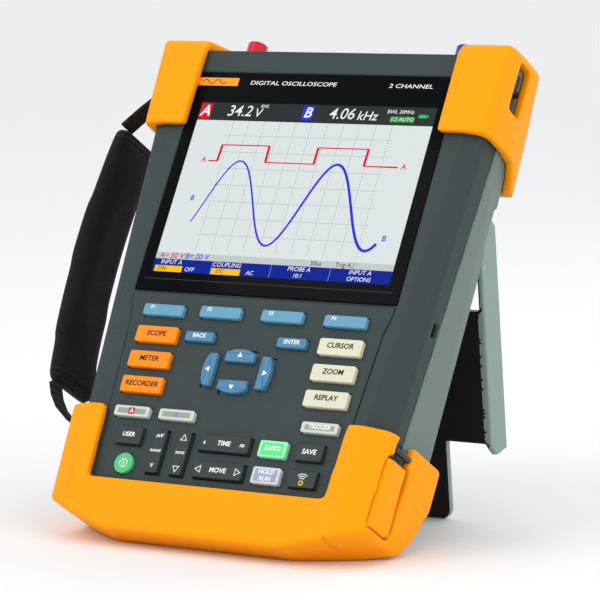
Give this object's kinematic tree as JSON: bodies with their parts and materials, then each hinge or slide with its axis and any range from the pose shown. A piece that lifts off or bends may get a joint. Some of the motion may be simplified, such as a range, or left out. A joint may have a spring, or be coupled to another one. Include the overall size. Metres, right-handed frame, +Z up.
{
  "type": "oscilloscope",
  "caption": "Handheld field oscilloscope in a rugged case with orange rubber guards, a side hand strap and a fold-out tilt stand, shown standing with its screen lit.",
  "frame": {"origin": "on the table, below the middle of the whole object's box", "axes": "+X to the right of a person facing the screen, +Y from the screen to the back, +Z up"},
  "size_m": [0.2156, 0.1591, 0.2221],
  "materials": {
    "dark_plastic": "fine matt texture",
    "grey_plastic": "fine matt texture",
    "stand_plastic": "fine matt texture",
    "orange_rubber": "smooth satin",
    "seal_rubber": "matt",
    "window_black": "glossy",
    "screen": "lit picture",
    "plain_steel": "plain",
    "circuit_board": "solder mask",
    "black_plastic": "matt",
    "red_plastic": "moulded",
    "blue_plastic": "moulded",
    "plated_steel": "plated",
    "strap_fabric": "woven",
    "webbing": "ribbed",
    "key_blue": "satin",
    "key_steel_blue": "satin",
    "key_orange": "satin",
    "key_cream": "satin",
    "key_pale": "satin",
    "key_dark": "satin",
    "key_green": "satin",
    "key_power": "satin",
    "key_lilac": "satin"
  },
  "bodies": {
    "main_body": {"front_shell": "dark_plastic", "rear_shell": "grey_plastic", "case_gasket": "seal_rubber", "display_window": "window_black", "lcd_module": "screen", "lcd_bracket": "plain_steel", "keypad_panel": "dark_plastic", "keypad_mat": "seal_rubber", "keypad_board": "circuit_board", "main_board": "circuit_board", "shield_cans": "plain_steel", "connector_panel": "black_plastic", "input_a_socket": "red_plastic", "input_b_socket": "blue_plastic", "meter_jacks": "black_plastic", "usb_ports": "plated_steel", "power_socket": "black_plastic", "battery_pack": "black_plastic", "case_screws": "plain_steel", "bottom_bumper": "orange_rubber", "left_guard": "orange_rubber", "right_guard": "orange_rubber", "strap_bars": "plain_steel", "strap_webbing": "webbing", "strap_pad": "strap_fabric", "stand_pins": "plated_steel"},
    "f1_key": {"f1_key": "key_blue"},
    "f2_key": {"f2_key": "key_blue"},
    "f3_key": {"f3_key": "key_blue"},
    "f4_key": {"f4_key": "key_blue"},
    "scope_key": {"scope_key": "key_orange"},
    "meter_key": {"meter_key": "key_orange"},
    "recorder_key": {"recorder_key": "key_orange"},
    "cursor_key": {"cursor_key": "key_cream"},
    "zoom_key": {"zoom_key": "key_cream"},
    "replay_key": {"replay_key": "key_cream"},
    "back_key": {"back_key": "key_steel_blue"},
    "enter_key": {"enter_key": "key_steel_blue"},
    "up_key": {"up_key": "key_steel_blue"},
    "down_key": {"down_key": "key_steel_blue"},
    "left_key": {"left_key": "key_steel_blue"},
    "right_key": {"right_key": "key_steel_blue"},
    "input_a_key": {"input_a_key": "key_pale"},
    "input_b_key": {"input_b_key": "key_pale"},
    "trigger_key": {"trigger_key": "key_pale"},
    "user_key": {"user_key": "key_dark"},
    "power_key": {"power_key": "key_power"},
    "auto_key": {"auto_key": "key_green"},
    "hold_run_key": {"hold_run_key": "key_lilac"},
    "save_key": {"save_key": "key_dark"},
    "wireless_key": {"wireless_key": "key_dark"},
    "range_rocker": {"range_rocker": "key_dark"},
    "move_y_rocker": {"move_y_rocker": "key_dark"},
    "time_rocker": {"time_rocker": "key_dark"},
    "move_x_rocker": {"move_x_rocker": "key_dark"},
    "tilt_stand": {"tilt_stand": "stand_plastic"},
    "battery_door": {"battery_door": "grey_plastic"},
    "door_lock_left": {"door_lock_left": "plain_steel"},
    "door_lock_right": {"door_lock_right": "plain_steel"},
    "port_flap": {"port_flap": "orange_rubber"}
  },
  "joints": [
    {"name": "f1_key_press", "type": "slide", "parent": "main_body", "child": "f1_key", "axis": [0, 0.866, -0.5], "range_m": [0, 0.0012], "stiffness_N_per_m": 600, "springref_m": -0.0003},
    {"name": "f2_key_press", "type": "slide", "parent": "main_body", "child": "f2_key", "axis": [0, 0.866, -0.5], "range_m": [0, 0.0012], "stiffness_N_per_m": 600, "springref_m": -0.0003},
    {"name": "f3_key_press", "type": "slide", "parent": "main_body", "child": "f3_key", "axis": [0, 0.866, -0.5], "range_m": [0, 0.0012], "stiffness_N_per_m": 600, "springref_m": -0.0003},
    {"name": "f4_key_press", "type": "slide", "parent": "main_body", "child": "f4_key", "axis": [0, 0.866, -0.5], "range_m": [0, 0.0012], "stiffness_N_per_m": 600, "springref_m": -0.0003},
    {"name": "scope_key_press", "type": "slide", "parent": "main_body", "child": "scope_key", "axis": [0, 0.866, -0.5], "range_m": [0, 0.0012], "stiffness_N_per_m": 600, "springref_m": -0.0003},
    {"name": "meter_key_press", "type": "slide", "parent": "main_body", "child": "meter_key", "axis": [0, 0.866, -0.5], "range_m": [0, 0.0012], "stiffness_N_per_m": 600, "springref_m": -0.0003},
    {"name": "recorder_key_press", "type": "slide", "parent": "main_body", "child": "recorder_key", "axis": [0, 0.866, -0.5], "range_m": [0, 0.0012], "stiffness_N_per_m": 600, "springref_m": -0.0003},
    {"name": "cursor_key_press", "type": "slide", "parent": "main_body", "child": "cursor_key", "axis": [0, 0.866, -0.5], "range_m": [0, 0.0012], "stiffness_N_per_m": 600, "springref_m": -0.0003},
    {"name": "zoom_key_press", "type": "slide", "parent": "main_body", "child": "zoom_key", "axis": [0, 0.866, -0.5], "range_m": [0, 0.0012], "stiffness_N_per_m": 600, "springref_m": -0.0003},
    {"name": "replay_key_press", "type": "slide", "parent": "main_body", "child": "replay_key", "axis": [0, 0.866, -0.5], "range_m": [0, 0.0012], "stiffness_N_per_m": 600, "springref_m": -0.0003},
    {"name": "back_key_press", "type": "slide", "parent": "main_body", "child": "back_key", "axis": [0, 0.866, -0.5], "range_m": [0, 0.0012], "stiffness_N_per_m": 600, "springref_m": -0.0003},
    {"name": "enter_key_press", "type": "slide", "parent": "main_body", "child": "enter_key", "axis": [0, 0.866, -0.5], "range_m": [0, 0.0012], "stiffness_N_per_m": 600, "springref_m": -0.0003},
    {"name": "up_key_press", "type": "slide", "parent": "main_body", "child": "up_key", "axis": [0, 0.866, -0.5], "range_m": [0, 0.0012], "stiffness_N_per_m": 600, "springref_m": -0.0003},
    {"name": "down_key_press", "type": "slide", "parent": "main_body", "child": "down_key", "axis": [0, 0.866, -0.5], "range_m": [0, 0.0012], "stiffness_N_per_m": 600, "springref_m": -0.0003},
    {"name": "left_key_press", "type": "slide", "parent": "main_body", "child": "left_key", "axis": [0, 0.866, -0.5], "range_m": [0, 0.0012], "stiffness_N_per_m": 600, "springref_m": -0.0003},
    {"name": "right_key_press", "type": "slide", "parent": "main_body", "child": "right_key", "axis": [0, 0.866, -0.5], "range_m": [0, 0.0012], "stiffness_N_per_m": 600, "springref_m": -0.0003},
    {"name": "input_a_key_press", "type": "slide", "parent": "main_body", "child": "input_a_key", "axis": [0, 0.866, -0.5], "range_m": [0, 0.0012], "stiffness_N_per_m": 600, "springref_m": -0.0003},
    {"name": "input_b_key_press", "type": "slide", "parent": "main_body", "child": "input_b_key", "axis": [0, 0.866, -0.5], "range_m": [0, 0.0012], "stiffness_N_per_m": 600, "springref_m": -0.0003},
    {"name": "trigger_key_press", "type": "slide", "parent": "main_body", "child": "trigger_key", "axis": [0, 0.866, -0.5], "range_m": [0, 0.0012], "stiffness_N_per_m": 600, "springref_m": -0.0003},
    {"name": "user_key_press", "type": "slide", "parent": "main_body", "child": "user_key", "axis": [0, 0.866, -0.5], "range_m": [0, 0.0012], "stiffness_N_per_m": 600, "springref_m": -0.0003},
    {"name": "power_key_press", "type": "slide", "parent": "main_body", "child": "power_key", "axis": [0, 0.866, -0.5], "range_m": [0, 0.0012], "stiffness_N_per_m": 600, "springref_m": -0.0003},
    {"name": "auto_key_press", "type": "slide", "parent": "main_body", "child": "auto_key", "axis": [0, 0.866, -0.5], "range_m": [0, 0.0012], "stiffness_N_per_m": 600, "springref_m": -0.0003},
    {"name": "hold_run_key_press", "type": "slide", "parent": "main_body", "child": "hold_run_key", "axis": [0, 0.866, -0.5], "range_m": [0, 0.0012], "stiffness_N_per_m": 600, "springref_m": -0.0003},
    {"name": "save_key_press", "type": "slide", "parent": "main_body", "child": "save_key", "axis": [0, 0.866, -0.5], "range_m": [0, 0.0012], "stiffness_N_per_m": 600, "springref_m": -0.0003},
    {"name": "wireless_key_press", "type": "slide", "parent": "main_body", "child": "wireless_key", "axis": [0, 0.866, -0.5], "range_m": [0, 0.0012], "stiffness_N_per_m": 600, "springref_m": -0.0003},
    {"name": "range_rocker_tilt", "type": "hinge", "parent": "main_body", "child": "range_rocker", "pos_m": [-0.01764, -0.05566, 0.03994], "axis": [1, 0, 0], "range_deg": [-3.5, 3.5], "stiffness_Nm_per_rad": 0.4},
    {"name": "move_y_rocker_tilt", "type": "hinge", "parent": "main_body", "child": "move_y_rocker", "pos_m": [-0.00464, -0.05566, 0.03994], "axis": [1, 0, 0], "range_deg": [-3.5, 3.5], "stiffness_Nm_per_rad": 0.4},
    {"name": "time_rocker_tilt", "type": "hinge", "parent": "main_body", "child": "time_rocker", "pos_m": [0.01676, -0.05246, 0.04549], "axis": [0, 0.5, 0.866], "range_deg": [-3.5, 3.5], "stiffness_Nm_per_rad": 0.4},
    {"name": "move_x_rocker_tilt", "type": "hinge", "parent": "main_body", "child": "move_x_rocker", "pos_m": [0.01736, -0.05886, 0.0344], "axis": [0, 0.5, 0.866], "range_deg": [-3.5, 3.5], "stiffness_Nm_per_rad": 0.4},
    {"name": "stand_hinge", "type": "hinge", "parent": "main_body", "child": "tilt_stand", "pos_m": [0.01316, 0.04748, 0.12058], "axis": [1, 0, 0], "range_deg": [-37, 0]},
    {"name": "battery_door_hinge", "type": "hinge", "parent": "main_body", "child": "battery_door", "pos_m": [0.01316, 0.00363, 0.05363], "axis": [1, 0, 0], "range_deg": [0, 40]},
    {"name": "door_lock_left_turn", "type": "hinge", "parent": "battery_door", "child": "door_lock_left", "pos_m": [-0.03084, -0.01822, 0.01879], "axis": [0, 0.866, -0.5], "range_deg": [0, 90]},
    {"name": "door_lock_right_turn", "type": "hinge", "parent": "battery_door", "child": "door_lock_right", "pos_m": [0.05717, -0.01822, 0.01879], "axis": [0, 0.866, -0.5], "range_deg": [0, 90]},
    {"name": "port_flap_hinge", "type": "hinge", "parent": "main_body", "child": "port_flap", "pos_m": [0.09637, -0.04306, 0.02476], "axis": [0, 0.5, 0.866], "range_deg": [0, 80]}
  ]
}
